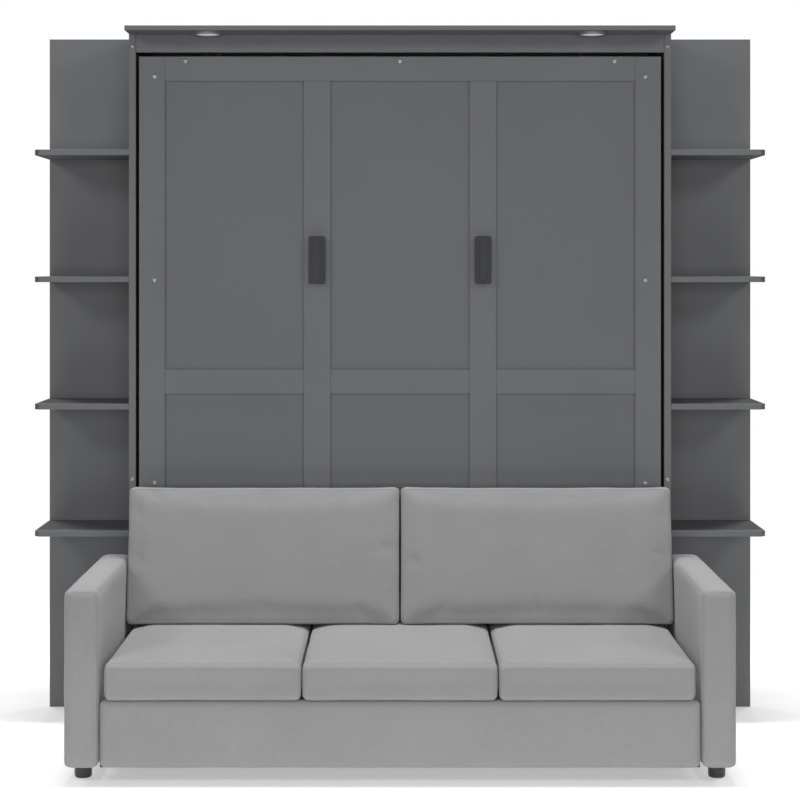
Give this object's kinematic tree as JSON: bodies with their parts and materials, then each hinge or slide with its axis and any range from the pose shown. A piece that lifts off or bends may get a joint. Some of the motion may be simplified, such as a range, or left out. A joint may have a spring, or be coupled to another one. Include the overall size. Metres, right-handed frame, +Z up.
{
  "type": "murphy wall bed",
  "caption": "Wall bed cabinet whose panelled door folds down as a bed over a low sofa, with open shelf units on both sides.",
  "frame": {"origin": "on the floor, at the middle of the overall width and depth", "axes": "+X to the right seen from the front, +Y towards the wall, +Z up"},
  "size_m": [2.32, 1.25, 2.21],
  "materials": {
    "painted_wood": "dark grey satin paint",
    "bare_wood": "planed pine",
    "linen": "light grey linen weave",
    "mattress_ticking": "quilted white ticking",
    "handle_plastic": "dark grey satin",
    "foot_plastic": "black satin",
    "black_steel": "black powder coat",
    "chrome": "polished",
    "zinc": "zinc plated",
    "light_ring": "satin",
    "lens": "frosted"
  },
  "bodies": {
    "root": {"back_panel": "painted_wood", "cabinet_edge_bolts": "zinc", "cabinet_plates": "black_steel", "centre_seat_cushion": "linen", "crown_board": "painted_wood", "fascia_board": "painted_wood", "left_arm_padding": "linen", "left_seat_cushion": "linen", "left_shelf_1": "painted_wood", "left_shelf_2": "painted_wood", "left_shelf_3": "painted_wood", "left_shelf_4": "painted_wood", "left_shelf_back": "painted_wood", "left_side_panel": "painted_wood", "light_lenses": "lens", "light_rings": "light_ring", "pivot_pins": "zinc", "plinth_board": "painted_wood", "rear_top_rail": "painted_wood", "right_arm_padding": "linen", "right_seat_cushion": "linen", "right_shelf_1": "painted_wood", "right_shelf_2": "painted_wood", "right_shelf_3": "painted_wood", "right_shelf_4": "painted_wood", "right_shelf_back": "painted_wood", "right_side_panel": "painted_wood", "sofa_arm_cores": "bare_wood", "sofa_feet": "foot_plastic", "sofa_front_padding": "linen", "sofa_rails": "bare_wood", "sofa_seat_slats": "bare_wood"},
    "bed": {"door_top_rail": "painted_wood", "door_middle_rail": "painted_wood", "door_bottom_rail": "painted_wood", "left_door_panel": "painted_wood", "centre_door_panel": "painted_wood", "right_door_panel": "painted_wood", "left_outer_stile": "painted_wood", "right_outer_stile": "painted_wood", "left_inner_stile": "painted_wood", "right_inner_stile": "painted_wood", "left_handle": "handle_plastic", "right_handle": "handle_plastic", "door_bolts": "zinc", "bed_side_rails": "bare_wood", "bed_end_rails": "bare_wood", "bed_plates": "black_steel", "slat_battens": "bare_wood", "bed_slats": "bare_wood", "mattress": "mattress_ticking", "leg_pivot_bolts": "zinc"},
    "left_leg": {"left_leg": "black_steel"},
    "left_strut": {"left_strut_cylinder": "black_steel"},
    "left_rod": {"left_strut_rod": "chrome"},
    "left_back_pad": {"left_back_cushion": "linen"},
    "right_leg": {"right_leg": "black_steel"},
    "right_strut": {"right_strut_cylinder": "black_steel"},
    "right_rod": {"right_strut_rod": "chrome"},
    "right_back_pad": {"right_back_cushion": "linen"}
  },
  "joints": [
    {"name": "bed_hinge", "type": "hinge", "parent": "root", "child": "bed", "pos_m": [0, 0.203, 0.42], "axis": [1, 0, 0], "range_deg": [0, 90]},
    {"name": "left_leg_swing", "type": "hinge", "parent": "bed", "child": "left_leg", "pos_m": [-0.81, 0.28, 2.08], "axis": [1, 0, 0], "range_deg": [0, 270.01]},
    {"name": "left_strut_swing", "type": "hinge", "parent": "bed", "child": "left_strut", "pos_m": [-0.816, 0.218, 0.12], "axis": [-1, 0, 0], "range_deg": [0, 1.56]},
    {"name": "left_rod_slide", "type": "slide", "parent": "left_strut", "child": "left_rod", "axis": [0, -0.0814, -0.9967], "range_m": [0, 0.08567]},
    {"name": "left_back_pad_lift", "type": "hinge", "parent": "root", "child": "left_back_pad", "pos_m": [-0.423, -0.85032, -0.56303], "axis": [1, 0, 0], "range_deg": [0, 103.01]},
    {"name": "right_leg_swing", "type": "hinge", "parent": "bed", "child": "right_leg", "pos_m": [0.81, 0.28, 2.08], "axis": [1, 0, 0], "range_deg": [0, 270.01]},
    {"name": "right_strut_swing", "type": "hinge", "parent": "bed", "child": "right_strut", "pos_m": [0.816, 0.218, 0.12], "axis": [-1, 0, 0], "range_deg": [0, 1.56]},
    {"name": "right_rod_slide", "type": "slide", "parent": "right_strut", "child": "right_rod", "axis": [0, -0.0814, -0.9967], "range_m": [0, 0.08567]},
    {"name": "right_back_pad_lift", "type": "hinge", "parent": "root", "child": "right_back_pad", "pos_m": [0.423, -0.85032, -0.56303], "axis": [1, 0, 0], "range_deg": [0, 103.01]}
  ],
  "couplings": [
    {"joint": "left_leg_swing", "follows": "bed_hinge", "ratio": 3},
    {"joint": "left_strut_swing", "follows": "bed_hinge", "ratio": 0.017233},
    {"joint": "left_rod_slide", "follows": "bed_hinge", "m_per_rad": 0.054508},
    {"joint": "left_back_pad_lift", "follows": "bed_hinge", "ratio": 1.1444},
    {"joint": "right_leg_swing", "follows": "bed_hinge", "ratio": 3},
    {"joint": "right_strut_swing", "follows": "bed_hinge", "ratio": 0.017233},
    {"joint": "right_rod_slide", "follows": "bed_hinge", "m_per_rad": 0.054508},
    {"joint": "right_back_pad_lift", "follows": "bed_hinge", "ratio": 1.1444}
  ]
}
